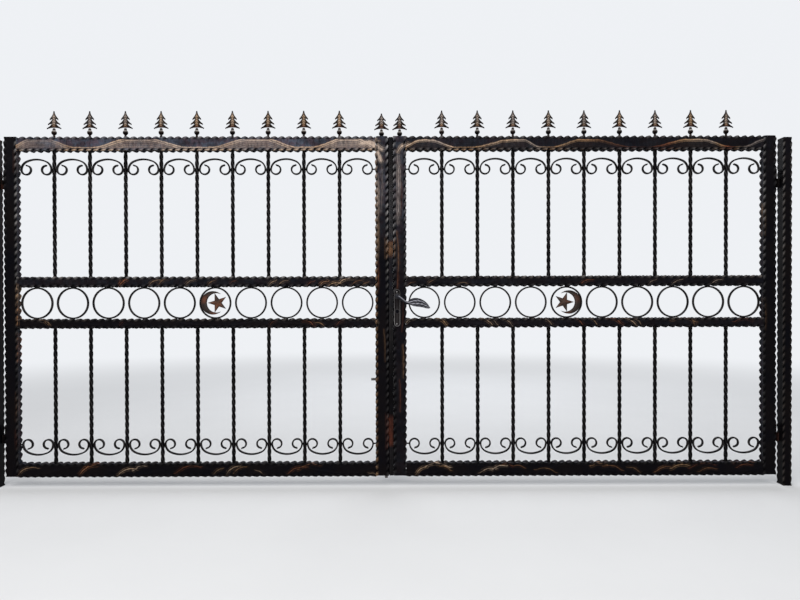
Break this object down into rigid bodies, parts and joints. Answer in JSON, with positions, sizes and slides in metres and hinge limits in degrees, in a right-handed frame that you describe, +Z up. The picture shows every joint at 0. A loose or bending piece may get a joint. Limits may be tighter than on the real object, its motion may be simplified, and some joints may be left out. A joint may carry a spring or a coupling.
{
  "type": "double leaf wrought iron driveway gate",
  "caption": "Double leaf driveway gate of embossed tube with twisted bars, scrolls, a band of rings with crescent and star, and pine finials, on its two posts.",
  "frame": {"origin": "middle of the left post's flat foot, on the ground", "axes": "+X across the opening from the left post to the right one as seen from the street, +Y inwards, the way the leaves swing, +Z up"},
  "size_m": [3.7, 0.124, 1.74],
  "materials": {
    "frame": "black paint with brushed gold and copper patina over embossed relief",
    "post": "black paint with gold patina on the embossed edges",
    "bars": "black paint with gold on the edges of the twist",
    "scrolls": "black paint, lightly worn",
    "crest": "black paint with copper patina",
    "finials": "brown gold patina with black edges",
    "hinges": "black paint",
    "lock_plate": "black paint worn to steel at the rim",
    "lever": "cast and tarnished silver",
    "bolt": "dull dark steel, lightly rusted"
  },
  "bodies": {
    "posts": {"left_post": "post", "right_post": "post", "left_hinge_pins": "hinges", "right_hinge_pins": "hinges"},
    "left_leaf": {"left_hinge_stile": "frame", "left_meeting_stile": "frame", "left_top_rail": "frame", "left_upper_middle_rail": "frame", "left_lower_middle_rail": "frame", "left_bottom_rail": "frame", "left_upper_bars": "bars", "left_lower_bars": "bars", "left_upper_scrolls": "scrolls", "left_lower_scrolls": "scrolls", "left_rings": "scrolls", "left_crescent_and_star": "crest", "left_finials": "finials", "left_hinge_barrels": "hinges", "closing_strip": "frame", "drop_bolt_guides": "hinges"},
    "bolt": {"drop_bolt": "bolt"},
    "right_leaf": {"right_hinge_stile": "frame", "right_meeting_stile": "frame", "right_top_rail": "frame", "right_upper_middle_rail": "frame", "right_lower_middle_rail": "frame", "right_bottom_rail": "frame", "right_upper_bars": "bars", "right_lower_bars": "bars", "right_upper_scrolls": "scrolls", "right_lower_scrolls": "scrolls", "right_rings": "scrolls", "right_crescent_and_star": "crest", "right_finials": "finials", "right_hinge_barrels": "hinges", "lock_plates": "lock_plate", "lock_cylinder": "bolt"},
    "levers": {"lever_handles": "lever"}
  },
  "joints": [
    {"name": "left_leaf_hinge", "type": "hinge", "parent": "posts", "child": "left_leaf", "pos_m": [0.034, 0.026, 0.24], "axis": [0, 0, 1], "range_deg": [0, 90]},
    {"name": "right_leaf_hinge", "type": "hinge", "parent": "posts", "child": "right_leaf", "pos_m": [3.626, 0.026, 0.24], "axis": [0, 0, -1], "range_deg": [0, 90]},
    {"name": "bolt_slide", "type": "slide", "parent": "left_leaf", "child": "bolt", "axis": [0, 0, -1], "range_m": [0, 0.07]},
    {"name": "lever_turn", "type": "hinge", "parent": "right_leaf", "child": "levers", "pos_m": [1.859, 0, 0.8805], "axis": [0, 1, 0], "range_deg": [0, 40], "stiffness_Nm_per_rad": 1.5, "springref_deg": -34.38}
  ]
}
